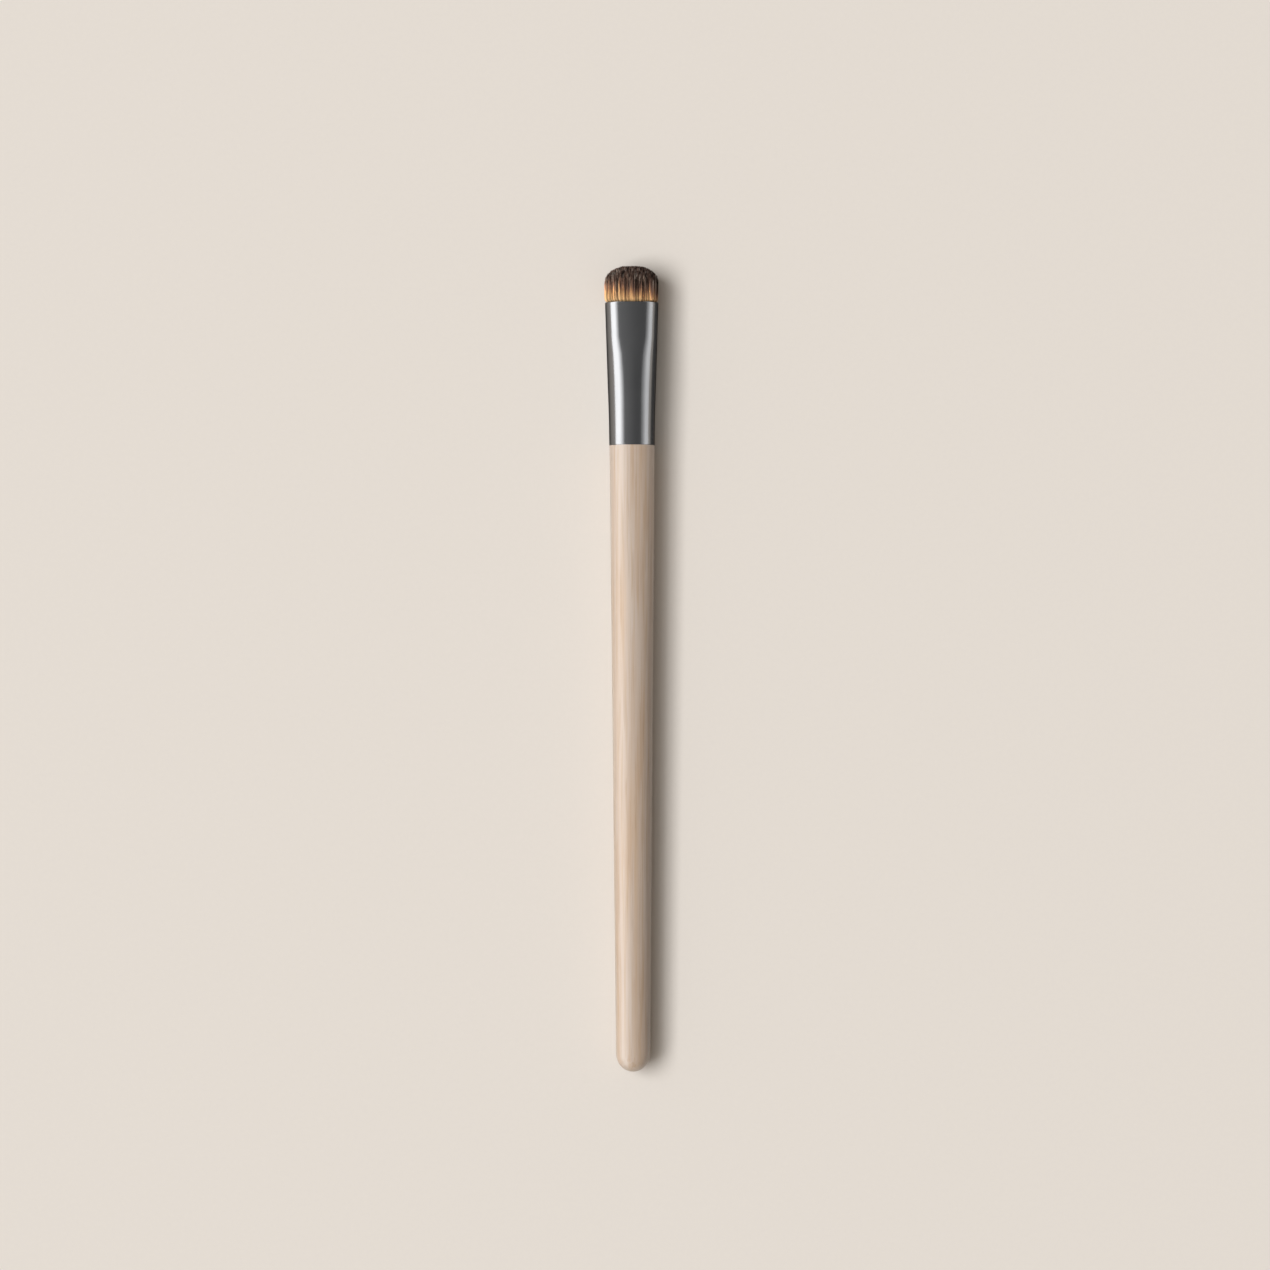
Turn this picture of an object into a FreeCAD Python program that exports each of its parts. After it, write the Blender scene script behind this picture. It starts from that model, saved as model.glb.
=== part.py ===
import FreeCAD, Part
import math
import os

# Eyeshadow brush: a turned bamboo handle, a drawn metal ferrule and a domed tuft of fine bristles.
# The brush lies along Y on the XY plane, its tuft towards +Y and the flat of the tuft facing up.
# Lengths are in millimetres. A station is a distance along the brush from the foot of the ferrule.

# Handle
handle_length = 108.8
handle_tail_diameter = 5.95
tail_dome_length = 3.5
front_step = 0.03
tenon_chamfer = 0.5

# Ferrule: a round collar and a swell, then a press that draws it thinner and spreads it wider to the mouth
ferrule_length = 24.8
ferrule_wall = 0.35
collar_diameter = 7.9
collar_length = 4.0
swell_rise = 0.56
swell_run = 7.2
press_spread = 0.48
press_draw = 1.3
band_length = 5.8
mouth_spread = 0.36
mouth_draw = 0.06

# Bristle tuft: its reach past the mouth, how far it stands inside or outside the mouth, and its roots
tuft_reach = 6.4
tuft_overhang = 0.09
tuft_clearance = 0.06
puff_inset = 0.06
puff_length = 0.4
dome_length = 3.5
root_depth = 5.4
tied_length = 2.4

# Locks that the bristles gather into, with a groove between each two
lock_count = 12
lock_groove = 0.3

# Binding, resin and glue inside the ferrule
binding_thread = 0.3
binding_length = 1.4
binding_offset = 0.5
resin_film = 0.04
resin_floor = 1.2
resin_rise = 3.2
tenon_gap = 2.4
glue_film = 0.1

# Shapes of the curves: half angle of an oval's flatter arcs, roundness of the tuft's dome, depth of its grooves
# along its body, how much of the press is drawn along its way, and the eased lip
oval_face_angle = math.radians(18.0)
dome_width_power = 2.4
dome_thickness_power = 2.1
dome_height_shares = (0.0, 0.3, 0.55, 0.75, 0.88, 0.97)
body_shares = ((0.0, 0.35), (0.5, 0.7))
press_ease_shares = ((0.5, 0.22), (0.75, 0.65))
lip_ease_share = 0.34

# Ovals along the ferrule, as (station, width, thickness)
press_station = ferrule_length - band_length
swell_station = collar_length + swell_run
swell_diameter = collar_diameter + swell_rise
press_width = swell_diameter + press_spread
press_thickness = swell_diameter - press_draw
mouth_width = press_width + mouth_spread
mouth_thickness = press_thickness - mouth_draw
foot = (0, collar_diameter, collar_diameter)
collar_end = (collar_length, collar_diameter, collar_diameter)
swell = (swell_station, swell_diameter, swell_diameter)
press = (press_station, press_width, press_thickness)
mouth = (ferrule_length, mouth_width, mouth_thickness)

# Places and sizes that follow
overall_length = handle_length + ferrule_length + tuft_reach
foot_y = handle_length - overall_length / 2
handle_front_diameter = collar_diameter - 2 * front_step
root_station = press_station - root_depth
tied_station = root_station + tied_length
resin_station = root_station - resin_floor
resin_end = root_station + resin_rise
binding_station = root_station + binding_offset
tenon_length = resin_station - tenon_gap
tenon_diameter = collar_diameter - 2 * (ferrule_wall + glue_film)
tied_bore = (swell_diameter + press_thickness) / 2 - 2 * ferrule_wall
binding_diameter = tied_bore - 2 * resin_film
root_diameter = binding_diameter - 2 * binding_thread
tuft_inset = ferrule_wall + tuft_clearance
tuft_width = mouth_width + 2 * tuft_overhang
tuft_thickness = mouth_thickness + 2 * tuft_overhang
dome_station = ferrule_length + tuft_reach - dome_length * dome_height_shares[-1]

axis_y = FreeCAD.Vector(0, 1, 0)
axis_foot = FreeCAD.Vector(0, 0, 0)


def at(station, x, z):
    """A point of the brush before it is laid down, with the brush's axis at x = z = 0."""
    return FreeCAD.Vector(x, station, z)


def oval_centres(half_width, half_thickness):
    """Offset and radius of an oval's end arcs, then drop and radius of its flatter arcs."""
    flat = oval_face_angle
    centre_gap = (half_width - half_thickness) / (math.cos(flat) + math.sin(flat) - 1)
    end_centre = centre_gap * math.sin(flat)
    end_radius = half_width - end_centre
    return end_centre, end_radius, centre_gap * math.cos(flat), end_radius + centre_gap


def quarter_point(half_width, half_thickness, turn):
    """Point of a quarter oval, as (across, up), where its outward normal leans by turn from straight up."""
    end_centre, end_radius, flat_drop, flat_radius = oval_centres(half_width, half_thickness)
    if turn <= oval_face_angle:
        return flat_radius * math.sin(turn), flat_radius * math.cos(turn) - flat_drop
    return end_centre + end_radius * math.sin(turn), end_radius * math.cos(turn)


def quarter_turn(half_width, half_thickness, way_share):
    """Lean of the outward normal at a share of the way along a quarter oval, from the middle of its face."""
    end_centre, end_radius, flat_drop, flat_radius = oval_centres(half_width, half_thickness)
    flat_way = flat_radius * oval_face_angle
    end_way = end_radius * (math.pi / 2 - oval_face_angle)
    way = way_share * (flat_way + end_way)
    if way <= flat_way:
        return way / flat_radius
    return oval_face_angle + (way - flat_way) / end_radius


def oval_arcs(half_width, half_thickness):
    """Middle of the flatter arc, corner and middle of the end arc of a quarter oval, as (across, up)."""
    turns = (oval_face_angle / 2, oval_face_angle, (math.pi / 2 + oval_face_angle) / 2)
    return [quarter_point(half_width, half_thickness, turn) for turn in turns]


def oval_wire(station, width, thickness):
    """Closed outline of four tangent arcs across the brush; a circle where width and thickness agree."""
    corner_x, corner_z = oval_arcs(width / 2, thickness / 2)[1]
    corners = [
        at(station, -corner_x, corner_z),
        at(station, corner_x, corner_z),
        at(station, corner_x, -corner_z),
        at(station, -corner_x, -corner_z),
    ]
    middles = [
        at(station, 0, thickness / 2),
        at(station, width / 2, 0),
        at(station, 0, -thickness / 2),
        at(station, -width / 2, 0),
    ]
    arcs = []
    for index, middle in enumerate(middles):
        start = corners[index]
        end = corners[(index + 1) % len(corners)]
        arcs.append(Part.Arc(start, middle, end).toShape())
    return Part.Wire(arcs)


def lock_point(station, width, thickness, inset, round_share):
    """Point inset from an oval, a share of the way round it from the middle of its upper face."""
    quarter, way_share = divmod(4 * round_share, 1)
    if quarter in (1, 3):
        way_share = 1 - way_share
    turn = quarter_turn(width / 2, thickness / 2, way_share)
    across, up = quarter_point(width / 2, thickness / 2, turn)
    side = 1 if quarter in (0, 1) else -1
    face = 1 if quarter in (0, 3) else -1
    return at(station, side * (across - inset * math.sin(turn)), face * (up - inset * math.cos(turn)))


def lock_wire(station, width, thickness, groove):
    """Closed outline of the bristles: one arc for each lock, crowned on an oval and meeting in grooves."""
    arcs = []
    for lock in range(lock_count):
        start = lock_point(station, width, thickness, groove, (lock - 0.5) / lock_count % 1)
        crown = lock_point(station, width, thickness, 0, lock / lock_count)
        end = lock_point(station, width, thickness, groove, (lock + 0.5) / lock_count)
        arcs.append(Part.Arc(start, crown, end).toShape())
    return Part.Wire(arcs)


def loft(sections):
    """Solid through ovals given as (station, width, thickness), straight from each to the next."""
    wires = [oval_wire(*section) for section in sections]
    return Part.makeLoft(wires, True, True)


def shrink(sections, inset):
    """The same ovals, drawn in by inset all round."""
    return [(station, width - 2 * inset, thickness - 2 * inset) for station, width, thickness in sections]


def slab(start, end):
    """Block across the whole brush between two stations."""
    side = 2 * mouth_width
    return Part.makeBox(side, end - start, side, at(start, -side / 2, -side / 2))


def revolve(edges):
    """Solid of revolution about the brush's axis from a closed half outline."""
    face = Part.Face(Part.Wire(edges))
    return face.revolve(axis_foot, axis_y, math.degrees(2 * math.pi))


def ferrule_ovals():
    """Ovals of the ferrule's outside from its foot to its mouth, with the press eased in after the swell."""
    ovals = [foot, collar_end, swell]
    for way_share, draw_share in press_ease_shares:
        station = swell_station + (press_station - swell_station) * way_share
        width = swell_diameter + press_spread * way_share
        ovals.append((station, width, swell_diameter - press_draw * draw_share))
    return ovals + [press, mouth]


def ferrule_bore():
    """Inside of the ferrule, one wall in from its outer form."""
    return loft(shrink(ferrule_ovals(), ferrule_wall))


def ferrule():
    """Drawn tube, round at the handle and pressed oval at the mouth, with the lip of its mouth eased."""
    lip_ease = ferrule_wall * lip_ease_share
    lip_low = (ferrule_length - lip_ease, mouth_width, mouth_thickness)
    outside = loft(ferrule_ovals()[:-1] + [lip_low] + shrink([mouth], lip_ease))
    return outside.cut(ferrule_bore())


def handle():
    """Turned handle: tenon with a lead-in chamfer, flush shoulder, slow taper and tail domed by two arcs."""
    tenon = tenon_diameter / 2
    front = handle_front_diameter / 2
    tail = handle_tail_diameter / 2
    dome_start = tail_dome_length - handle_length
    straight_points = [
        at(-handle_length, 0, 0),
        at(tenon_length, 0, 0),
        at(tenon_length, tenon - tenon_chamfer, 0),
        at(tenon_length - tenon_chamfer, tenon, 0),
        at(0, tenon, 0),
        at(0, front, 0),
        at(dome_start, tail, 0),
    ]
    edges = []
    for start, end in zip(straight_points, straight_points[1:]):
        edges.append(Part.makeLine(start, end))
    dome = [at(dome_start - along, across, 0) for along, across in oval_arcs(tail_dome_length, tail)]
    edges.append(Part.Arc(straight_points[-1], dome[0], dome[1]).toShape())
    edges.append(Part.Arc(dome[1], dome[2], straight_points[0]).toShape())
    return revolve(edges)


def dome_sections():
    """Ovals up the tuft's tip with their grooves, closing in along a rounded square curve."""
    sections = []
    for height_share in dome_height_shares:
        station = dome_station + dome_length * height_share
        width_share = (1 - height_share**dome_width_power) ** (1 / dome_width_power)
        thickness_share = (1 - height_share**dome_thickness_power) ** (1 / dome_thickness_power)
        groove = lock_groove * thickness_share
        sections.append((station, tuft_width * width_share, tuft_thickness * thickness_share, groove))
    return sections


def bristle_tuft():
    """Bundle of bristles: tied round root, stretch inside the ferrule, and the domed head parted into locks."""
    roots = [
        (root_station, root_diameter, root_diameter),
        (tied_station, root_diameter, root_diameter),
    ]
    held = [(*section, 0) for section in roots + shrink([press, mouth], tuft_inset)]
    puff_station = ferrule_length + puff_length
    body = []
    for way_share, groove_share in body_shares:
        station = puff_station + (dome_station - puff_station) * way_share
        inset = puff_inset - (puff_inset + tuft_overhang) * way_share
        oval = shrink([(station, mouth_width, mouth_thickness)], inset)[0]
        body.append((*oval, lock_groove * groove_share))
    wires = [lock_wire(*section) for section in held + body + dome_sections()]
    return Part.makeLoft(wires, True, True)


def root_binding():
    """Thread wound tight round the roots, as one even band."""
    start = at(binding_station, 0, 0)
    band = Part.makeCylinder(binding_diameter / 2, binding_length, start, axis_y)
    return band.cut(Part.makeCylinder(root_diameter / 2, binding_length, start, axis_y))


def setting_resin(tuft, binding):
    """Resin cup that fills the bore round the tied roots."""
    bore = ferrule_bore().common(slab(resin_station, resin_end))
    return bore.cut([tuft, binding])


def tenon_glue(turned_handle):
    """Glue film between the straight part of the tenon and the ferrule's socket."""
    bore = ferrule_bore().common(slab(0, tenon_length - tenon_chamfer))
    return bore.cut(turned_handle)


def build():
    """All pieces of the brush by name, before it is laid down."""
    pieces = {
        "handle": handle(),
        "ferrule": ferrule(),
        "bristle_tuft": bristle_tuft(),
        "root_binding": root_binding(),
    }
    pieces["setting_resin"] = setting_resin(pieces["bristle_tuft"], pieces["root_binding"])
    pieces["tenon_glue"] = tenon_glue(pieces["handle"])
    return pieces


def main():
    """Lay the brush on the XY plane, half its length to each side of the origin, and write its pieces."""
    os.makedirs("parts", exist_ok=True)
    pieces = build()
    rest_height = -min(piece.optimalBoundingBox(False, False).ZMin for piece in pieces.values())
    lay_down = FreeCAD.Vector(0, foot_y, rest_height)
    for name, piece in pieces.items():
        piece.translated(lay_down).exportStep("parts/" + name + ".step")
        print(name, "solids", len(piece.Solids), "volume", round(piece.Volume, 2), "valid", piece.isValid())
    print("axis height", round(rest_height, 4), "foot of the ferrule at y", round(foot_y, 4))


main()
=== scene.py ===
import math

import bpy
import numpy as np
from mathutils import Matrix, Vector


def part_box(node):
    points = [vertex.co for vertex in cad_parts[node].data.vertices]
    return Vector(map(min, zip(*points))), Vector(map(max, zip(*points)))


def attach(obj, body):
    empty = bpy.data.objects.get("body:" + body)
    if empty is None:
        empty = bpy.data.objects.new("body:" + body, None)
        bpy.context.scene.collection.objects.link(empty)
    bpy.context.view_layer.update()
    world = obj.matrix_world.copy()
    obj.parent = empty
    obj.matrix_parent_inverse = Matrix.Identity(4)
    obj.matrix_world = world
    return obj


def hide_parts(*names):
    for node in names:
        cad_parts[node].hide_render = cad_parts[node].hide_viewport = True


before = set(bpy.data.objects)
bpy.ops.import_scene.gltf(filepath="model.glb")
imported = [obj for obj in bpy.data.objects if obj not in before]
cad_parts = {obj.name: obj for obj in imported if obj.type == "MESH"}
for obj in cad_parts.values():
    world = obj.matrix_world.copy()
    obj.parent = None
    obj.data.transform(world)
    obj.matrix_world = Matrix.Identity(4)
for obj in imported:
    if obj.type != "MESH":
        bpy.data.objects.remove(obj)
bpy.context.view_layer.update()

# Eyeshadow brush lying on a pale floor, seen straight from above.
# Lengths are in metres. A station is a distance along the brush from the foot of the ferrule.
ferrule_low, ferrule_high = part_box("ferrule")
tail_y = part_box("handle")[0].y
tip_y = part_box("bristle_tuft")[1].y

# Ferrule: collar and swell, then pressed thinner and wider towards the mouth
collar_diameter = 0.0079
collar_length = 0.004
collar_rise = 0.0001
swell_station = 0.0112
press_station = 0.019
press_spread = 0.00048
press_draw = 0.0013
press_ease_shares = ((0.5, 0.22), (0.75, 0.65))
mouth_draw = 0.00006
ferrule_wall = 0.00035
lip_ease = 0.00012
foot_ease = 0.00008
oval_face_angle = math.radians(18.0)
ring_points = 160
ferrule_rings = 150
ease_steps = 5

# Handle: its domed tail, and how far that stands clear of the floor
tail_diameter = 0.00595
tail_dome_length = 0.0035
tail_lift = 0.0008

# Tuft: its outline above the mouth, the dome of its tip and the grooves between its main locks
root_sink = 0.0012
tuft_clearance = 0.00006
puff_inset = 0.00006
puff_length = 0.0004
tuft_overhang = 0.00009
dome_length = 0.0035
dome_top_share = 0.97
dome_width_power = 2.4
dome_thickness_power = 2.1
dome_halvings = 24
main_locks = 12
lock_groove = 0.0003
groove_shares = (0.0, 0.35, 0.7, 1.0)
groove_power = 2
core_inset = 0.0008
core_rings = 12

# Strands of the tuft, which gather into wisps, and the wisps into small locks
strand_count = 12000
strand_pieces = 6
strand_rings = 9
strand_sides = 3
strand_radius = 0.00005
strand_tip_share = 0.4
strand_wave = 0.000025
tip_scatter = 0.00012
wisp_scatter = 0.0001
tuft_lean = -0.0001
gather_room = 0.00003
inner_reach = 0.0026
shell_share = 0.7
lock_gap = 0.00062
lock_pull_share = 0.2
wisp_gap = 0.000175
wisp_pull_share = 0.7
root_pull_share = 0.5
cell_margin_share = 0.1
random_seed = 20

# Shades of the strands, among them painted shade and painted highlights, and where along the tuft the
# dark tips take over from the golden roots
lock_tone_spread = 0.12
wisp_tone_spreads = (0.34, 1.0)
tone_limits = (0.2, 1.5)
# painted shade: the dark tips darker towards the right, the side away from the light
painted_side_shade_share = 0.45
strand_tone_spread = 0.28
# painted shade: strands at the edges of the small locks darker, as if deeper in the gaps
lock_edge_painted_shade = 0.12
lock_edge_shares = (0.25, 0.7)
# painted shade: strands in the grooves between the main locks darker
groove_painted_shade = 0.08
groove_painted_shade_power = 4
# painted highlight: pale grey strands standing in for glints on the dark filaments
painted_highlight_share = 0.24
painted_highlight_least_share = 0.3
tip_start_share = 0.2
tip_full_share = 0.5
dye_spread_share = 0.075
# painted shade: the dark colour of the tips reaches lower towards the right, away from the light
painted_side_shade_dye_share = 0.11
dye_tone_share = 0.05
# painted shade: strands darker where they enter the mouth of the ferrule
mouth_painted_shade = 0.6
painted_highlight_root_share = 0.25

# Camera, from where the brush stands in the picture, in pixels of the picture
picture_size = 1270.0
brush_pixels = 805.5
axis_left_pixels = 2.7
middle_below_pixels = 33.75
camera_distance = 0.7
camera_roll = math.radians(-0.1)

# Floor, and a grey card on it to the right, which only the gloss of the brush sees
floor_half = 2.0
floor_color = (0.775, 0.734, 0.687)
card_start = 0.009
card_width = 0.014
card_lift = 0.0002
card_grey = 0.17
matt_roughness = 0.9
floor_specular = 0.1
floor_spread_share = 0.006
card_spread_share = 0.05

# Light: long soft boxes for everything, low ones for the gloss alone, and a small fill for the handle
key_degrees = (45.0, 56.0, 66.0, 74.0, 86.0)
key_shares = (1.0, 0.7, 0.32, 0.1)
key_distance = 12.0
key_length = 10.0
key_radiance = 9.5
gloss_distance = 1.0
left_gloss_degrees = (0.0, 33.0, 41.0, 49.0)
right_gloss_degrees = (0.0, 22.0, 31.0, 42.0)
wood_gloss_degrees = (0.0, 35.0, 50.0, 65.0)
gloss_shares = (1.0, 0.65, 0.3)
wood_radiance = 3.1
gloss_length = 6.0
left_radiance = 3.4
right_radiance = 1.65
fill_place = Vector((0.038, 0.034, 0.012))
fill_target = Vector((0, 0.034, 0.005))
fill_size = 0.03
fill_radiance = 1.0
sky_gloss_levels = (0.36, 0.2)
sky_diffuse_levels = (0.35, 0.21)
sky_diffuse_tint = (1.0, 0.9, 0.79)
sky_turn_share = 0.6

# Texture sizes, across and along the brush
grain_broad = (0.0015, 0.05)
grain_soft = (0.0006, 0.02)
grain_fine = (0.0003, 0.012)
drawn_lines = (0.00025, 0.02)
metal_cloud = (0.004, 0.006)
shade_streaks = (0.0002, 0.004)
paper_grain = (0.0008, 0.0008)
thread_turns = (0.0005, 0.0003)
cast_mottle = (0.0008, 0.0008)

# Noise of the textures: its character, the limits that hold most of its values, and its relief
broad_detail = 2.0
fine_detail = 3.0
noise_roughness = 0.55
noise_distortion = 0.4
noise_low = 0.3
noise_high = 0.7
grain_relief = 0.000015
grain_relief_strength = 0.2
drawn_relief = 0.00000417
drawn_relief_strength = 0.15
mottle_relief_share = 0.05
mottle_relief_strength = 0.1

# Finish: roughness at both limits of the noise, and how strongly the lines of the grain show
wood_roughness = (0.46, 0.36)
metal_roughness = (0.16, 0.22)
grain_line_share = 0.85

# Finish of the hidden pieces: name, colour, texture size, spread of the colour as a share, and roughness
hidden_finishes = {
    "root_binding": ("thread", (0.71, 0.66, 0.56), thread_turns, 0.06, 0.8),
    "setting_resin": ("resin", (0.46, 0.37, 0.17), cast_mottle, 0.1, 0.25),
    "tenon_glue": ("glue", (0.73, 0.67, 0.52), cast_mottle, 0.05, 0.35),
}

# Places that follow
foot_y = ferrule_low.y
mouth_y = ferrule_high.y
axis_z = (ferrule_low.z + ferrule_high.z) / 2
swell_diameter = ferrule_high.z - ferrule_low.z
mouth_width = ferrule_high.x - ferrule_low.x
mouth_thickness = swell_diameter - press_draw - mouth_draw
brush_length = tip_y - tail_y
ferrule_length = mouth_y - foot_y
tuft_inset = ferrule_wall + tuft_clearance
tuft_half_width = mouth_width / 2 + tuft_overhang
tuft_half_thickness = mouth_thickness / 2 + tuft_overhang
tuft_length = tip_y - mouth_y
dome_rise = tuft_length - dome_length * dome_top_share
free_length = 2 * puff_length
metres_per_pixel = brush_length / brush_pixels


def oval_ring(half_width, half_thickness, turns):
    """Points across and up on an oval of four tangent arcs, at the given turns of its normal from up."""
    flat = oval_face_angle
    centre_gap = (half_width - half_thickness) / (math.cos(flat) + math.sin(flat) - 1)
    end_centre = centre_gap * math.sin(flat)
    end_radius = half_width - end_centre
    flat_radius = end_radius + centre_gap
    flat_drop = centre_gap * math.cos(flat)
    folded = np.arccos(np.clip(np.abs(np.cos(turns)), 0, 1))
    on_flat = folded <= flat
    across = np.where(on_flat, flat_radius * np.sin(folded), end_centre + end_radius * np.sin(folded))
    up = np.where(on_flat, flat_radius * np.cos(folded) - flat_drop, end_radius * np.cos(folded))
    return across * np.sign(np.sin(turns)), up * np.sign(np.cos(turns))


def smooth_through(knots, values, places):
    """Values at places on a smooth curve through the knots that never swings past them."""
    knots = np.array(knots)
    values = np.array(values)
    steps = np.diff(knots)
    slopes = np.diff(values) / steps
    tangents = np.zeros(len(knots))
    tangents[0] = slopes[0]
    tangents[-1] = slopes[-1]
    for index in range(1, len(knots) - 1):
        before = slopes[index - 1]
        after = slopes[index]
        if before * after > 0:
            tangents[index] = 2 * before * after / (before + after)
    spans = np.clip(np.searchsorted(knots, places, side="right") - 1, 0, len(steps) - 1)
    width = steps[spans]
    share = (places - knots[spans]) / width
    rest = 1 - share
    start = values[spans] * (1 + 2 * share) * rest**2 + tangents[spans] * width * share * rest**2
    end = values[spans + 1] * (1 + 2 * rest) * share**2 - tangents[spans + 1] * width * rest * share**2
    return start + end


def smooth_step(low, high, values):
    """0 below low, 1 above high, and a smooth rise between them."""
    share = np.clip((values - low) / (high - low), 0, 1)
    return share**2 * (3 - 2 * share)


def mesh_object(name, points, faces):
    """New smooth mesh object from its points and its faces."""
    mesh = bpy.data.meshes.new(name)
    mesh.from_pydata([tuple(point) for point in points], [], faces)
    mesh.validate()
    mesh.shade_smooth()
    piece = bpy.data.objects.new(name, mesh)
    bpy.context.scene.collection.objects.link(piece)
    return piece


def ring_faces(ring_total, points_total, closed):
    """Quads between rings of points; closed joins the last ring to the first."""
    faces = []
    last = ring_total if closed else ring_total - 1
    for ring in range(last):
        low = ring * points_total
        high = (ring + 1) % ring_total * points_total
        for point in range(points_total):
            beside = (point + 1) % points_total
            faces.append((low + point, low + beside, high + beside, high + point))
    return faces


def ferrule_sizes(stations):
    """Outer half width and half thickness of the ferrule at stations along it."""
    knots = [0, collar_length, swell_station]
    widths = [collar_diameter, collar_diameter + collar_rise, swell_diameter]
    thicknesses = list(widths)
    for way_share, draw_share in (*press_ease_shares, (1, 1)):
        knots.append(swell_station + (press_station - swell_station) * way_share)
        widths.append(swell_diameter + press_spread * way_share)
        thicknesses.append(swell_diameter - press_draw * draw_share)
    knots.append(ferrule_length)
    widths.append(mouth_width)
    thicknesses.append(mouth_thickness)
    return smooth_through(knots, widths, stations) / 2, smooth_through(knots, thicknesses, stations) / 2


def edge_arc(radius):
    """Steps round an eased edge, as (distance from the end face, inset from the wall's surface)."""
    turns = np.linspace(0, math.pi / 2, ease_steps)
    return [(radius * (1 - math.sin(turn)), radius * (1 - math.cos(turn))) for turn in turns]


def ferrule_profile():
    """Wall of the ferrule as (station, inset) pairs: along the outside, over the lip and back inside."""
    foot_steps = edge_arc(foot_ease)
    lip_steps = edge_arc(lip_ease)
    outside = [(end, inset) for end, inset in reversed(foot_steps)]
    stations = np.linspace(foot_ease, ferrule_length - lip_ease, ferrule_rings)
    outside += [(station, 0) for station in stations[1:-1]]
    outside += [(ferrule_length - end, inset) for end, inset in lip_steps]
    inside = [(ferrule_length - end, ferrule_wall - inset) for end, inset in reversed(lip_steps)]
    inside += [(station, ferrule_wall) for station in reversed(stations[1:-1:ease_steps])]
    inside += [(end, ferrule_wall - inset) for end, inset in foot_steps]
    return outside + inside


def make_ferrule():
    """Drawn metal tube: round at the handle, swelling, then pressed to an oval, with eased edges."""
    turns = np.linspace(0, 2 * math.pi, ring_points, endpoint=False)
    profile = ferrule_profile()
    stations = np.array([station for station, inset in profile])
    half_widths, half_thicknesses = ferrule_sizes(stations)
    rings = []
    for (station, inset), half_width, half_thickness in zip(profile, half_widths, half_thicknesses):
        across, up = oval_ring(half_width - inset, half_thickness - inset, turns)
        along = np.full(ring_points, foot_y + station)
        rings.append(np.stack([across, along, axis_z + up], axis=1))
    points = np.concatenate(rings)
    return mesh_object("ferrule_shell", points, ring_faces(len(rings), ring_points, True))


def body_inset(heights):
    """How far the bundle's body lies inside the oval of the mouth at heights above it."""
    knots = [-root_sink, 0, puff_length, dome_rise]
    insets = [tuft_inset, tuft_inset, puff_inset, -tuft_overhang]
    return smooth_through(knots, insets, np.clip(heights, -root_sink, dome_rise))


def groove_depth(heights):
    """Depth of the grooves between the main locks at heights above the mouth."""
    knots = [0, puff_length, (puff_length + dome_rise) / 2, dome_rise]
    return lock_groove * np.interp(heights, knots, groove_shares)


def dome_sizes(height_share):
    """Shares of its full width and thickness that the dome still has at a share of its height."""
    width_share = (1 - height_share**dome_width_power) ** (1 / dome_width_power)
    thickness_share = (1 - height_share**dome_thickness_power) ** (1 / dome_thickness_power)
    return width_share, thickness_share


def dome_shares(across_share, up_share):
    """How high up the dome, from 0 to 1, a column ends; the shares are its place in the oval."""
    low = np.zeros(len(across_share))
    high = np.full(len(across_share), dome_top_share)
    for halving in range(dome_halvings):
        middle = (low + high) / 2
        width_share, thickness_share = dome_sizes(middle)
        inside = (across_share / width_share) ** 2 + (up_share / thickness_share) ** 2 < 1
        low = np.where(inside, middle, low)
        high = np.where(inside, high, middle)
    return low


def scattered_columns(random):
    """Random columns spread evenly over the bundle: their place round its rim, and their depth."""
    turns = np.linspace(0, 2 * math.pi, ring_points + 1)
    across, up = oval_ring(tuft_half_width, tuft_half_thickness, turns)
    ways = np.concatenate([[0], np.cumsum(np.hypot(np.diff(across), np.diff(up)))])
    round_share = random.uniform(0, 1, strand_count)
    depth_share = np.sqrt(random.uniform(0, 1, strand_count))
    return round_share, np.interp(round_share * ways[-1], ways, turns), depth_share


def spread_centres(places, gap):
    """Places picked so that no two lie nearer than the gap, and the nearest pick of every place."""
    centres = places[:1]
    for place in places[1:]:
        if np.min(np.sum((centres - place) ** 2, axis=1)) > gap**2:
            centres = np.concatenate([centres, place[None]])
    distances = np.sum((places[:, None, :] - centres[None, :, :]) ** 2, axis=2)
    return centres, np.argmin(distances, axis=1)


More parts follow.
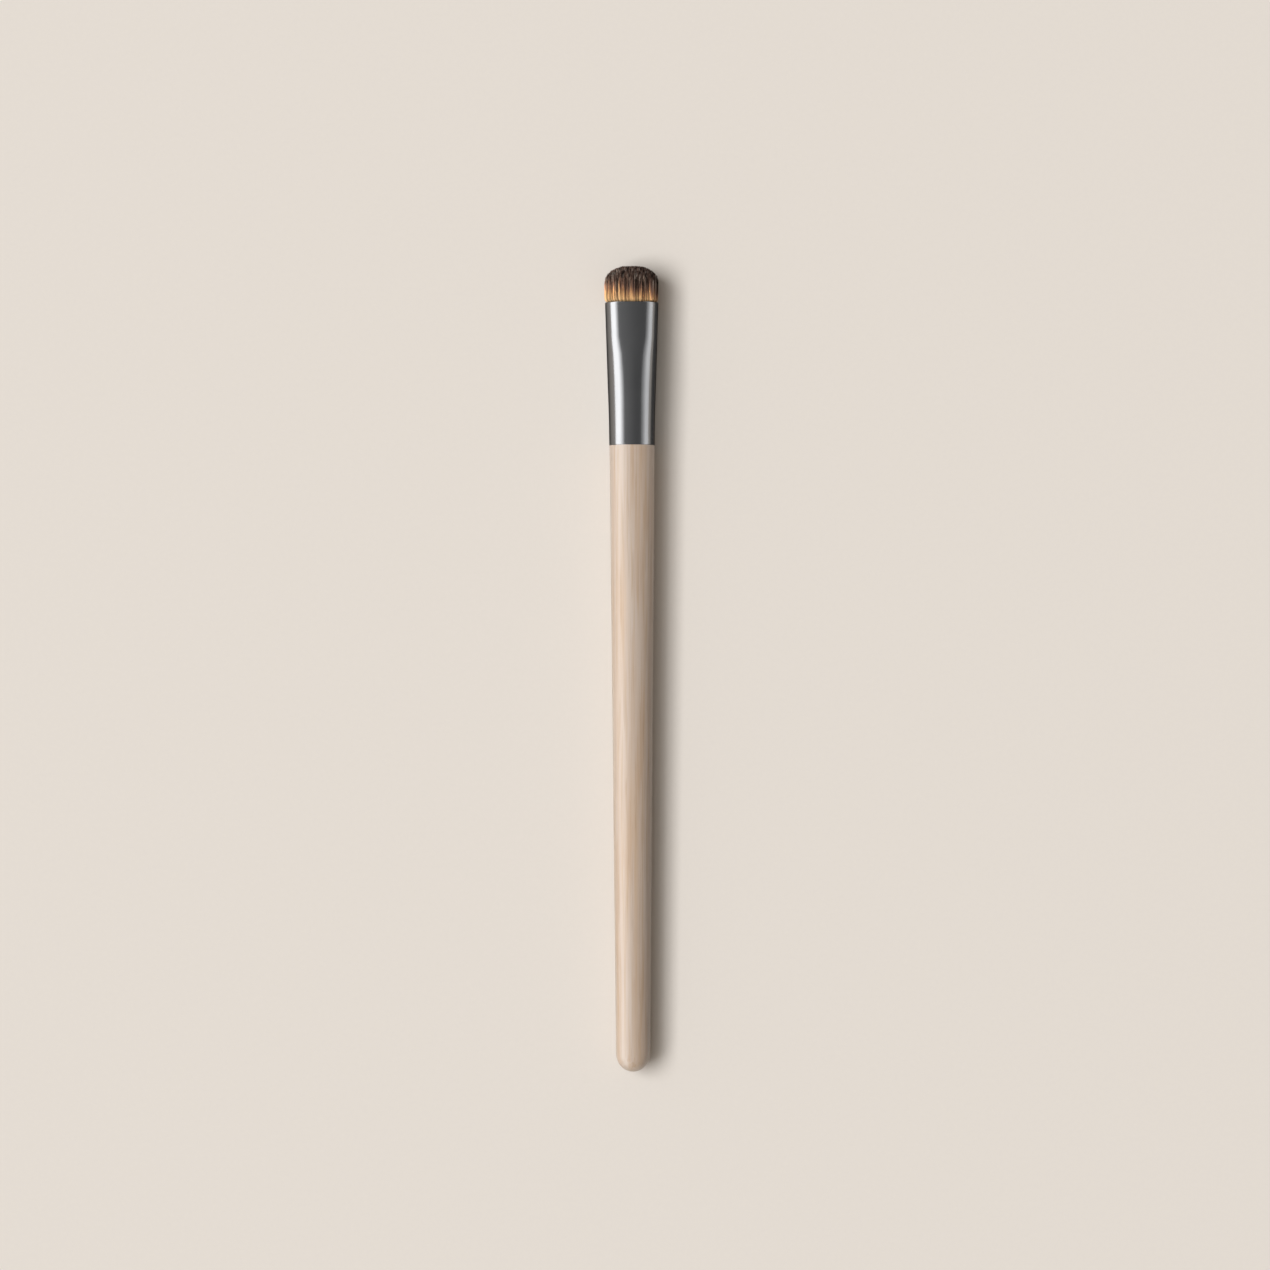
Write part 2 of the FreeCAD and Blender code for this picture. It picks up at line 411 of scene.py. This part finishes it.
class Tuft:
    """Columns of the bundle with their wisps and locks, as places across and up in its widest oval."""

    def __init__(self, random):
        self.round_share, self.turns, self.depth_share = scattered_columns(random)
        rim_across, rim_up = oval_ring(tuft_half_width, tuft_half_thickness, self.turns)
        self.rim_radius = np.hypot(rim_across, rim_up)
        self.places = self.depth_share[:, None] * np.stack([rim_across, rim_up], axis=1)
        self.wisp_centres, self.wisps = spread_centres(self.places, wisp_gap)
        self.lock_centres, self.locks = spread_centres(self.places, lock_gap)
        self.groove_share = np.abs(2 * ((self.round_share * main_locks + 0.5) % 1) - 1)
        rim_places = np.stack([rim_across / tuft_half_width, rim_up / tuft_half_thickness], axis=1)
        rim_places = rim_places / np.linalg.norm(rim_places, axis=1)[:, None]
        disc_places = rim_places * self.depth_share[:, None]
        ends = dome_rise + dome_length * dome_shares(disc_places[:, 0], disc_places[:, 1])
        wisp_drops = np.abs(random.normal(0, wisp_scatter, len(self.wisp_centres)))[self.wisps]
        self.ends = ends - wisp_drops - np.abs(random.normal(0, tip_scatter, strand_count))
        # Inner strands are short, because only their tips can be seen
        inner_starts = np.maximum(-root_sink, self.ends - inner_reach)
        self.starts = np.where(self.depth_share > shell_share, -root_sink, inner_starts)

    def heights(self):
        """Heights above the mouth of every strand's rings."""
        roots = self.starts[:, None] + np.array([0, root_sink])
        body = self.starts + root_sink + puff_length
        along_share = np.linspace(0, 1, strand_rings - 2)
        return np.concatenate([roots, body[:, None] + (self.ends - body)[:, None] * along_share], axis=1)

    def paths(self, random):
        """Points of every strand, ring by ring, gathered into its wisp and its lock."""
        heights = self.heights()
        rise_share = np.clip(heights / tuft_length, 0, 1)
        gather = root_pull_share + (1 - root_pull_share) * rise_share
        wisp_places = self.wisp_centres[self.wisps]
        lock_places = self.lock_centres[self.locks]
        to_wisp = (wisp_places - self.places)[:, None, :] * (wisp_pull_share * gather)[..., None]
        to_lock = (lock_places - wisp_places)[:, None, :] * (lock_pull_share * rise_share)[..., None]
        places = self.places[:, None, :] + to_wisp + to_lock
        free_share = smooth_step(0, free_length, heights)
        inset = body_inset(heights) - gather_room * free_share
        across_groove = self.groove_share**groove_power / self.rim_radius
        groove = groove_depth(heights) * across_groove[:, None]
        across = places[..., 0] * (1 - groove) * (mouth_width / 2 - inset) / tuft_half_width
        up = places[..., 1] * (1 - groove) * (mouth_thickness / 2 - inset) / tuft_half_thickness
        wave = random.normal(0, strand_wave, (*heights.shape, 2)) * rise_share[..., None]
        across = across + wave[..., 0] + tuft_lean * free_share * (1 - rise_share)
        return np.stack([across, mouth_y + heights, axis_z + up + wave[..., 1]], axis=2)

    def shades(self, random):
        """For every ring of every strand: its tone, with painted shade at the lock edges, in the
        grooves, on the right and at the mouth; its painted highlight; and the shift of its colour along
        the ramp, sooner dark on the right as painted shade.
        """
        heights = self.heights()
        rise_share = heights / tuft_length
        dark = smooth_step(tip_start_share, tip_full_share, rise_share)
        wisp_tones = random.normal(0, 1, len(self.wisp_centres))[self.wisps]
        lock_tones = random.normal(0, lock_tone_spread, len(self.lock_centres))[self.locks]
        own_tones = random.normal(0, strand_tone_spread, strand_count)
        root_spread, tip_spread = wisp_tone_spreads
        spread = root_spread + (tip_spread - root_spread) * dark
        # Painted shade in the gaps between the small locks
        edge_way = np.linalg.norm(self.places - self.lock_centres[self.locks], axis=1) / lock_gap
        edge = 1 - lock_edge_painted_shade * smooth_step(*lock_edge_shares, edge_way)
        # Painted shade in the grooves between the main locks
        groove = 1 - groove_painted_shade * self.groove_share**groove_painted_shade_power
        tone = np.exp(wisp_tones[:, None] * spread + (lock_tones + own_tones)[:, None])
        across_share = self.places[:, 0] / tuft_half_width
        # Painted shade: the dark tips darker towards the right, away from the light
        painted_side_shade = 1 - painted_side_shade_share * across_share[:, None] * dark
        # Painted shade where the strands enter the mouth
        mouth = 1 - mouth_painted_shade * (1 - smooth_step(0, puff_length, heights))
        # Painted highlight: some wisps get pale grey strands in place of glints
        painted_highlight_wisps = random.uniform(0, 1, len(self.wisp_centres)) < painted_highlight_share
        painted_highlight = random.uniform(painted_highlight_least_share, 1, strand_count) * painted_highlight_wisps[self.wisps]
        wisp_shifts = random.normal(0, dye_spread_share, len(self.wisp_centres))[self.wisps]
        shift = wisp_shifts + random.normal(0, dye_spread_share / 2, strand_count)
        # Painted shade: the colour ramp turns dark sooner towards the right
        shift = shift + painted_side_shade_dye_share * across_share - dye_tone_share * wisp_tones
        return {
            # The tone attribute carries random tone and the painted shades above
            "strand_tone_and_painted_shade": np.clip(tone, *tone_limits) * painted_side_shade * (edge * groove)[:, None] * mouth,
            "strand_painted_highlight": painted_highlight[:, None] * (painted_highlight_root_share + (1 - painted_highlight_root_share) * dark),
            "strand_dye_and_painted_shade": rise_share + shift[:, None],
        }


def bake_cells(strand_total):
    """UV of every corner of every face, each strand in a cell of its own on a square grid."""
    corners = []
    for ring in range(strand_rings - 1):
        for side in range(strand_sides):
            for across, along in ((0, 0), (1, 0), (1, 1), (0, 1)):
                corners.append(((side + across) / strand_sides, (ring + 1 + along) / (strand_rings + 1)))
    for low, high in ((0, 1), (strand_rings + 1, strand_rings)):
        bottom = low / (strand_rings + 1)
        corners += [(0, bottom), (0.5, high / (strand_rings + 1)), (1, bottom)]
    cells = math.ceil(math.sqrt(strand_total))
    inside = cell_margin_share / 2 + np.array(corners) * (1 - cell_margin_share)
    rows, columns = np.divmod(np.arange(strand_total), cells)
    origins = np.stack([columns, rows], axis=1)
    return (origins[:, None, :] + inside[None, :, :]) / cells


def strand_mesh(name, paths, shades):
    """One piece of the tuft: a thin tapered three-sided tube along each path, closed at both ends."""
    corners = np.arange(strand_sides) * 2 * math.pi / strand_sides
    share = np.linspace(0, 1, strand_rings)
    radii = strand_radius * (1 - (1 - strand_tip_share) * share**2)
    points = np.repeat(paths[:, :, None, :], strand_sides, axis=2)
    points[..., 0] += radii[None, :, None] * np.cos(corners)
    points[..., 2] += radii[None, :, None] * np.sin(corners)
    block = strand_rings * strand_sides
    root_cap = tuple(range(strand_sides))
    tip_cap = tuple(block - 1 - corner for corner in range(strand_sides))
    pattern = ring_faces(strand_rings, strand_sides, False) + [root_cap, tip_cap]
    faces = []
    for strand in range(len(paths)):
        first = strand * block
        faces += [tuple(first + corner for corner in face) for face in pattern]
    piece = mesh_object(name, points.reshape(-1, 3), faces)
    for attribute_name, values in shades.items():
        attribute = piece.data.attributes.new(attribute_name, "FLOAT", "POINT")
        attribute.data.foreach_set("value", np.repeat(values.ravel(), strand_sides).astype(np.float32))
    layer = piece.data.uv_layers.new(name="OFBake")
    layer.data.foreach_set("uv", bake_cells(len(paths)).ravel().astype(np.float32))
    return piece


def make_tuft():
    """The bundle's strands, dealt into several pieces from left to right."""
    random = np.random.default_rng(random_seed)
    tuft = Tuft(random)
    paths = tuft.paths(random)
    shades = tuft.shades(random)
    order = np.argsort(tuft.places[:, 0], kind="stable")
    pieces = []
    for number, members in enumerate(np.array_split(order, strand_pieces)):
        own_shades = {name: values[members] for name, values in shades.items()}
        pieces.append(strand_mesh("bristles_" + str(number + 1), paths[members], own_shades))
    return pieces


def make_core():
    """Packed inside of the bundle, just under its outer strands, dark as painted shade between them."""
    turns = np.linspace(0, 2 * math.pi, ring_points, endpoint=False)
    sections = []
    for height in np.linspace(-root_sink, dome_rise, core_rings):
        inset = body_inset(height) + core_inset
        sections.append((height, mouth_width / 2 - inset, mouth_thickness / 2 - inset))
    for height_share in np.sin(np.linspace(0, math.pi / 2, core_rings))[1:-1]:
        width_share, thickness_share = dome_sizes(height_share)
        height = dome_rise + (dome_length - core_inset) * height_share
        half_width = (tuft_half_width - core_inset) * width_share
        sections.append((height, half_width, (tuft_half_thickness - core_inset) * thickness_share))
    rings = []
    for height, half_width, half_thickness in sections:
        across, up = oval_ring(half_width, half_thickness, turns)
        rings.append(np.stack([across, np.full(ring_points, mouth_y + height), axis_z + up], axis=1))
    faces = ring_faces(len(rings), ring_points, False)
    faces.append(tuple(range(ring_points)))
    top = (len(rings) - 1) * ring_points
    faces.append(tuple(top + point for point in reversed(range(ring_points))))
    return mesh_object("bristle_core", np.concatenate(rings), faces)


def flat_rectangle(name, low_x, high_x, half_length, height):
    """Level rectangle, seen from above."""
    front = [(low_x, -half_length, height), (high_x, -half_length, height)]
    back = [(high_x, half_length, height), (low_x, half_length, height)]
    return mesh_object(name, front + back, [(0, 1, 2, 3)])


def rest_on_brush(stage_piece):
    """Tilt a piece of the stage so that the swell rests on it and the tail stands just clear of it."""
    swell_y = foot_y + swell_station
    dome_y = tail_y + tail_dome_length
    tail_gap = axis_z - tail_diameter / 2 - tail_lift
    stage_piece.location = (0, swell_y, 0)
    stage_piece.rotation_euler = (-math.atan2(tail_gap, swell_y - dome_y), 0, 0)


def make_floor():
    """Pale floor under the brush."""
    floor = flat_rectangle("floor", -floor_half, floor_half, floor_half, 0)
    rest_on_brush(floor)
    dress(floor, floor_material())


def make_card():
    """Grey card just over the floor on the right, which only the gloss of the brush sees."""
    card = flat_rectangle("grey_card", card_start, card_start + card_width, brush_length, card_lift)
    rest_on_brush(card)
    dress(card, card_material())
    card.visible_camera = False
    card.visible_diffuse = False
    card.visible_transmission = False
    card.visible_shadow = False


def new_material(name):
    """Material with its node tree and its main shader."""
    material = bpy.data.materials.new(name)
    material.use_nodes = True
    tree = material.node_tree
    return material, tree, tree.nodes["Principled BSDF"]


def add_node(tree, kind, sockets=(), **settings):
    """New node with the given settings and socket values."""
    node = tree.nodes.new(kind)
    for name, value in settings.items():
        setattr(node, name, value)
    for name, value in dict(sockets).items():
        node.inputs[name].default_value = value
    return node


def set_sockets(shader, sockets):
    """Plain values on a shader's own sockets."""
    for name, value in sockets.items():
        shader.inputs[name].default_value = value


def stretched_noise(tree, sizes, detail):
    """Noise with features of the given sizes across and along the brush."""
    across, along = sizes
    place = add_node(tree, "ShaderNodeTexCoord")
    mapping = add_node(tree, "ShaderNodeMapping", {"Scale": (1 / across, 1 / along, 1 / across)})
    look = {"Roughness": noise_roughness, "Distortion": noise_distortion}
    noise = add_node(tree, "ShaderNodeTexNoise", {"Scale": 1.0, "Detail": detail, **look})
    tree.links.new(place.outputs["Object"], mapping.inputs["Vector"])
    tree.links.new(mapping.outputs["Vector"], noise.inputs["Vector"])
    return noise.outputs["Fac"]


def color_ramp(tree, value, stops):
    """Colour ramp over a value, from (position, colour) stops."""
    node = add_node(tree, "ShaderNodeValToRGB")
    elements = node.color_ramp.elements
    while len(elements) < len(stops):
        elements.new(0.5)
    for element, (position, color) in zip(elements, stops):
        element.position = position
        element.color = (*color, 1)
    tree.links.new(value, node.inputs["Fac"])
    return node.outputs["Color"]


def mix_colors(tree, factor, first, second, blend):
    """Blend of two colour outputs by a factor that is a number or an output."""
    node = add_node(tree, "ShaderNodeMix", data_type="RGBA", blend_type=blend)
    if isinstance(factor, float):
        node.inputs["Factor"].default_value = factor
    else:
        tree.links.new(factor, node.inputs["Factor"])
    tree.links.new(first, node.inputs[6])
    tree.links.new(second, node.inputs[7])
    return node.outputs[2]


def bump_normal(tree, height, distance, strength, shader):
    """Fine relief from a height output."""
    bump = add_node(tree, "ShaderNodeBump", {"Distance": distance, "Strength": strength})
    tree.links.new(height, bump.inputs["Height"])
    tree.links.new(bump.outputs["Normal"], shader.inputs["Normal"])


def value_range(tree, value, low, high):
    """Noise output spread over a range of values."""
    limits = {"From Min": noise_low, "From Max": noise_high, "To Min": low, "To Max": high}
    node = add_node(tree, "ShaderNodeMapRange", limits)
    tree.links.new(value, node.inputs["Value"])
    return node.outputs["Result"]


def bamboo_material():
    """Pale bamboo with long soft grain under a satin lacquer."""
    material, tree, shader = new_material("bamboo_satin")
    broad = stretched_noise(tree, grain_broad, broad_detail)
    soft = stretched_noise(tree, grain_soft, fine_detail)
    fine = stretched_noise(tree, grain_fine, fine_detail)
    ground_stops = [
        (0.32, (0.4, 0.322, 0.262)),
        (0.52, (0.396, 0.306, 0.238)),
        (0.66, (0.396, 0.29, 0.204)),
    ]
    soft_stops = [(0.36, (0.95, 0.885, 0.8)), (0.5, (1.0, 1.0, 1.0)), (0.66, (1.03, 1.05, 1.08))]
    line_stops = [(0.34, (0.88, 0.84, 0.79)), (0.46, (1.0, 1.0, 1.0))]
    ground = color_ramp(tree, broad, ground_stops)
    streaks = mix_colors(tree, 1.0, ground, color_ramp(tree, soft, soft_stops), "MULTIPLY")
    color = mix_colors(tree, grain_line_share, streaks, color_ramp(tree, fine, line_stops), "MULTIPLY")
    tree.links.new(color, shader.inputs["Base Color"])
    tree.links.new(value_range(tree, fine, *wood_roughness), shader.inputs["Roughness"])
    lacquer = {"Coat Weight": 1.0, "Coat Roughness": 0.5, "Coat IOR": 1.5}
    set_sockets(shader, {"Specular IOR Level": 0.5, **lacquer})
    bump_normal(tree, soft, grain_relief, grain_relief_strength, shader)
    return material


def gunmetal_material():
    """Polished dark grey plating with faint drawing lines along the tube."""
    material, tree, shader = new_material("gunmetal_polished")
    drawn = stretched_noise(tree, drawn_lines, fine_detail)
    cloud = stretched_noise(tree, metal_cloud, broad_detail)
    cloud_stops = [(noise_low, (0.24, 0.242, 0.247)), (noise_high, (0.26, 0.261, 0.265))]
    color = color_ramp(tree, cloud, cloud_stops)
    tree.links.new(color, shader.inputs["Base Color"])
    tree.links.new(value_range(tree, drawn, *metal_roughness), shader.inputs["Roughness"])
    set_sockets(shader, {"Metallic": 1.0, "Specular Tint": (0.15, 0.15, 0.15, 1.0)})
    bump_normal(tree, drawn, drawn_relief, drawn_relief_strength, shader)
    return material


def bristle_material():
    """Dyed filaments: golden at the mouth, red-brown above, dark at the tips, with painted highlights on
    some strands and painted shade carried in their tones.
    """
    material, tree, shader = new_material("bristle_filaments")
    # Tone carries random tone and painted shade; the ramp place also carries painted shade on the right
    dye_and_painted_shade, tone, painted_highlight = [
        add_node(tree, "ShaderNodeAttribute", attribute_name=name).outputs["Fac"]
        for name in ("strand_dye_and_painted_shade", "strand_tone_and_painted_shade", "strand_painted_highlight")
    ]
    dye_stops = [
        (0.0, (0.88, 0.585, 0.3)),
        (0.14, (0.84, 0.52, 0.25)),
        (0.26, (0.48, 0.25, 0.14)),
        (0.38, (0.24, 0.14, 0.103)),
        (0.66, (0.18, 0.118, 0.093)),
        (1.0, (0.18, 0.12, 0.097)),
    ]
    toned = add_node(tree, "ShaderNodeVectorMath", operation="SCALE")
    tree.links.new(color_ramp(tree, dye_and_painted_shade, dye_stops), toned.inputs[0])
    tree.links.new(tone, toned.inputs["Scale"])
    # Painted highlight: pale greys for the glinting strands
    painted_highlight_stops = [(0.2, (0.62, 0.47, 0.34)), (0.7, (0.48, 0.41, 0.36))]
    grey = color_ramp(tree, dye_and_painted_shade, painted_highlight_stops)
    color = mix_colors(tree, painted_highlight, toned.outputs["Vector"], grey, "MIX")
    tree.links.new(color, shader.inputs["Base Color"])
    set_sockets(shader, {"Roughness": 0.5, "Specular IOR Level": 0.2})
    return material


def core_material():
    """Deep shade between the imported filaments."""
    material, tree, shader = new_material("bristle_shade")
    streak = stretched_noise(tree, shade_streaks, broad_detail)
    shade_stops = [(noise_low, (0.02, 0.012, 0.007)), (noise_high, (0.06, 0.036, 0.02))]
    color = color_ramp(tree, streak, shade_stops)
    tree.links.new(color, shader.inputs["Base Color"])
    set_sockets(shader, {"Roughness": 0.8})
    return material


def mottled_material(name, color, sizes, spread_share, roughness):
    """Material whose colour wanders a little to both sides, with a relief of the same sizes."""
    material, tree, shader = new_material(name)
    mottle = stretched_noise(tree, sizes, fine_detail)
    low = tuple(channel * (1 - spread_share) for channel in color)
    high = tuple(channel * (1 + spread_share) for channel in color)
    stops = [(noise_low, low), (noise_high, high)]
    tree.links.new(color_ramp(tree, mottle, stops), shader.inputs["Base Color"])
    set_sockets(shader, {"Roughness": roughness})
    bump_normal(tree, mottle, sizes[0] * mottle_relief_share, mottle_relief_strength, shader)
    return material


def floor_material():
    """Matt beige paper with a very faint grain."""
    finish = (floor_color, paper_grain, floor_spread_share, matt_roughness)
    material = mottled_material("floor_paper", *finish)
    set_sockets(material.node_tree.nodes["Principled BSDF"], {"Specular IOR Level": floor_specular})
    return material


def card_material():
    """Matt grey board with a very faint grain."""
    grey = (card_grey, card_grey, card_grey)
    return mottled_material("grey_board", grey, paper_grain, card_spread_share, matt_roughness)


def dress(piece, material):
    """Give a piece its one material."""
    piece.data.materials.clear()
    piece.data.materials.append(material)


def make_world():
    """Dim sky, lighter on the left, grey in gloss and warmer elsewhere; the camera sees a backdrop."""
    world = bpy.data.worlds.new("studio")
    bpy.context.scene.world = world
    world.use_nodes = True
    tree = world.node_tree
    place = add_node(tree, "ShaderNodeTexCoord")
    split = add_node(tree, "ShaderNodeSeparateXYZ")
    tree.links.new(place.outputs["Generated"], split.inputs["Vector"])
    path = add_node(tree, "ShaderNodeLightPath")
    level = add_node(tree, "ShaderNodeMix", data_type="FLOAT")
    tree.links.new(path.outputs["Is Glossy Ray"], level.inputs[0])
    for socket, (left, right) in ((2, sky_diffuse_levels), (3, sky_gloss_levels)):
        turn = {"From Min": -sky_turn_share, "From Max": sky_turn_share}
        sides = {"To Min": left, "To Max": right}
        sky = add_node(tree, "ShaderNodeMapRange", {**turn, **sides}, interpolation_type="SMOOTHSTEP")
        tree.links.new(split.outputs["X"], sky.inputs["Value"])
        tree.links.new(sky.outputs["Result"], level.inputs[socket])
    light = tree.nodes["Background"]
    tint = add_node(tree, "ShaderNodeMix", data_type="RGBA")
    tint.inputs[6].default_value = (*sky_diffuse_tint, 1)
    tint.inputs[7].default_value = (1, 1, 1, 1)
    tree.links.new(path.outputs["Is Glossy Ray"], tint.inputs[0])
    tree.links.new(tint.outputs[2], light.inputs["Color"])
    backdrop = add_node(tree, "ShaderNodeBackground", {"Color": (*floor_color, 1)})
    mix = add_node(tree, "ShaderNodeMixShader")
    tree.links.new(level.outputs[0], light.inputs["Strength"])
    tree.links.new(path.outputs["Is Camera Ray"], mix.inputs["Fac"])
    tree.links.new(light.outputs["Background"], mix.inputs[1])
    tree.links.new(backdrop.outputs["Background"], mix.inputs[2])
    tree.links.new(mix.outputs["Shader"], tree.nodes["World Output"].inputs["Surface"])


def soft_box(name, place, target, sides, radiance):
    """Rectangular light facing a target; sides are its length along the brush and its width."""
    data = bpy.data.lights.new(name, "AREA")
    light = bpy.data.objects.new(name, data)
    bpy.context.scene.collection.objects.link(light)
    data.shape = "RECTANGLE"
    data.size, data.size_y = sides
    data.energy = radiance * math.pi * sides[0] * sides[1]
    light.location = place
    light.rotation_euler = (place - target).to_track_quat("Z", "Y").to_euler()
    light.visible_camera = False
    return light


def light_only(light, piece):
    """Let a light fall on one piece alone."""
    receivers = bpy.data.collections.new(light.name + "_receivers")
    receivers.objects.link(piece)
    light.light_linking.receiver_collection = receivers


def make_key():
    """Long soft boxes over the left side, fading towards the top, which light everything."""
    for low, high, share in zip(key_degrees, key_degrees[1:], key_shares):
        middle = math.radians((low + high) / 2)
        width = 2 * key_distance * math.tan(math.radians(high - low) / 2)
        place = key_distance * Vector((-math.cos(middle), 0, math.sin(middle)))
        key = soft_box("key", place, Vector((0, 0, 0)), (key_length, width), key_radiance * share)
        key.visible_glossy = False


def make_gloss_light(name, side, degrees, radiance, piece):
    """Low soft boxes on one side, fading upward, that show only in the gloss of one piece."""
    for low, high, share in zip(degrees, degrees[1:], gloss_shares):
        bottom = gloss_distance * math.tan(math.radians(low))
        height = gloss_distance * math.tan(math.radians(high)) - bottom
        place = Vector((side * gloss_distance, 0, bottom + height / 2))
        target = Vector((0, 0, bottom + height / 2))
        light = soft_box(name, place, target, (gloss_length, height), radiance * share)
        light.visible_diffuse = False
        light_only(light, piece)


def make_fill(handle):
    """Small fill on the right that lifts the front of the handle."""
    fill = soft_box("fill", fill_place, fill_target, (fill_size, fill_size), fill_radiance)
    fill.visible_glossy = False
    light_only(fill, handle)


def make_camera():
    """Camera straight above, framed so that the brush stands where it does in the picture."""
    camera_data = bpy.data.cameras.new("camera")
    frame_width = picture_size * metres_per_pixel
    camera_data.sensor_fit = "HORIZONTAL"
    camera_data.angle = 2 * math.atan2(frame_width / 2, camera_distance)
    camera = bpy.data.objects.new("camera", camera_data)
    bpy.context.scene.collection.objects.link(camera)
    across = axis_left_pixels * metres_per_pixel
    along = (tail_y + tip_y) / 2 + middle_below_pixels * metres_per_pixel
    camera.location = (across, along, axis_z + camera_distance)
    camera.rotation_euler = (0, 0, camera_roll)
    bpy.context.scene.camera = camera


def dress_frame():
    """Materials of the CAD pieces, shown or inside."""
    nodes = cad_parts
    dress(nodes["handle"], bamboo_material())
    for name, finish in hidden_finishes.items():
        dress(nodes[name], mottled_material(*finish))


def make_brush():
    """Shell and strands replace the ferrule's and the tuft's solids; the other solids are dressed."""
    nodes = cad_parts
    dress_frame()
    metal = gunmetal_material()
    filaments = bristle_material()
    shell = make_ferrule()
    core = make_core()
    strands = make_tuft()
    dress(nodes["ferrule"], metal)
    dress(nodes["bristle_tuft"], filaments)
    dress(shell, metal)
    dress(core, core_material())
    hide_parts("ferrule")
    for piece in strands:
        dress(piece, filaments)
        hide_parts("bristle_tuft")
    slots = [(shell, "gunmetal"), (core, "bristle")]
    slots += [(piece, "bristle") for piece in strands]
    for piece, slot in slots:
        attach(piece, "root")
    return shell, nodes["handle"]


shell, handle = make_brush()
make_floor()
make_card()
make_world()
make_key()
make_gloss_light("left_gloss", -1, left_gloss_degrees, left_radiance, shell)
make_gloss_light("right_gloss", 1, right_gloss_degrees, right_radiance, shell)
make_gloss_light("wood_gloss", -1, wood_gloss_degrees, wood_radiance, handle)
make_fill(handle)
make_camera()
bpy.context.scene.view_settings.view_transform = "Standard"
